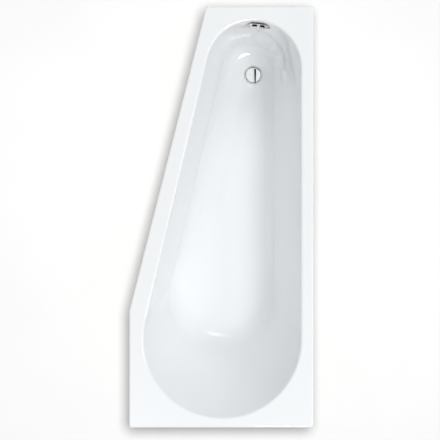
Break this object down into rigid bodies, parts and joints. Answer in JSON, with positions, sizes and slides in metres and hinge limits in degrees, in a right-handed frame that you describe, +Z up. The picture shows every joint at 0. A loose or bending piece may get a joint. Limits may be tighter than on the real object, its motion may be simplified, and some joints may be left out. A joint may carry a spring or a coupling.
{
  "type": "space-saving bathtub",
  "caption": "Space-saving acrylic bathtub with a tapering basin and flat rim, turn-knob overflow that lifts the drain plug, trap, and levelling feet on steel rails.",
  "frame": {"origin": "middle of the rim's outline, at the level of the floor that the feet stand on", "axes": "+Z up, +Y along the tub towards the narrow foot end with drain and overflow, +X towards the straight wall side"},
  "size_m": [0.7, 1.6, 0.59],
  "materials": {
    "acrylic": "polished sanitary acrylic",
    "chipboard": "raw chipboard",
    "zinc_steel": "zinc plated",
    "chrome": "polished chrome plate",
    "rubber": "soft rubber",
    "white_plastic": "moulded",
    "grey_plastic": "moulded",
    "hose_plastic": "corrugated",
    "brass": "turned",
    "black_plastic": "moulded"
  },
  "bodies": {
    "tub": {"tub_shell": "acrylic", "base_board": "chipboard", "head_rail": "zinc_steel", "foot_rail": "zinc_steel", "rail_screws": "zinc_steel", "rail_nuts": "zinc_steel", "lock_nuts": "zinc_steel", "overflow_screws": "zinc_steel", "lever_pin": "zinc_steel", "cable_ferrules": "zinc_steel", "drain_flange": "chrome", "drain_upper_seal": "rubber", "drain_lower_seal": "rubber", "overflow_seal": "rubber", "trap_seal": "rubber", "outlet_seal": "rubber", "drain_body": "white_plastic", "overflow_body": "white_plastic", "overflow_clamp_ring": "white_plastic", "trap_body": "white_plastic", "outlet_pipe": "white_plastic", "hose_nuts": "grey_plastic", "trap_nut": "grey_plastic", "outlet_nut": "grey_plastic", "overflow_hose": "hose_plastic", "cable_sheath": "black_plastic"},
    "knob": {"overflow_knob": "chrome", "knob_shaft": "brass", "shaft_crank": "grey_plastic"},
    "plug": {"plug_cap": "chrome", "plug_seal": "rubber", "plug_stem": "brass"},
    "lever": {"lift_lever": "grey_plastic"},
    "foot_head_left": {"spindle_head_left": "zinc_steel", "pad_head_left": "black_plastic"},
    "foot_head_right": {"spindle_head_right": "zinc_steel", "pad_head_right": "black_plastic"},
    "foot_foot_left": {"spindle_foot_left": "zinc_steel", "pad_foot_left": "black_plastic"},
    "foot_foot_right": {"spindle_foot_right": "zinc_steel", "pad_foot_right": "black_plastic"}
  },
  "joints": [
    {"name": "knob_turn", "type": "hinge", "parent": "tub", "child": "knob", "pos_m": [0.14377, 0.7458, 0.532], "axis": [-0.1154, -0.9933, 0], "range_deg": [0, 100.5]},
    {"name": "plug_lift", "type": "slide", "parent": "tub", "child": "plug", "axis": [0, 0, 1], "range_m": [0, 0.01]},
    {"name": "lever_turn", "type": "hinge", "parent": "tub", "child": "lever", "pos_m": [0.13344, 0.60394, 0.1173], "axis": [-0.9968, 0.0799, 0], "range_deg": [0, 30.2]},
    {"name": "level_head_left", "type": "slide", "parent": "tub", "child": "foot_head_left", "axis": [0, 0, -1], "range_m": [-0.015, 0.025]},
    {"name": "level_head_right", "type": "slide", "parent": "tub", "child": "foot_head_right", "axis": [0, 0, -1], "range_m": [-0.015, 0.025]},
    {"name": "level_foot_left", "type": "slide", "parent": "tub", "child": "foot_foot_left", "axis": [0, 0, -1], "range_m": [-0.015, 0.025]},
    {"name": "level_foot_right", "type": "slide", "parent": "tub", "child": "foot_foot_right", "axis": [0, 0, -1], "range_m": [-0.015, 0.025]}
  ],
  "couplings": [
    {"joint": "knob_turn", "follows": "plug_lift", "rad_per_m": 174.53},
    {"joint": "lever_turn", "follows": "plug_lift", "rad_per_m": 52.36}
  ]
}
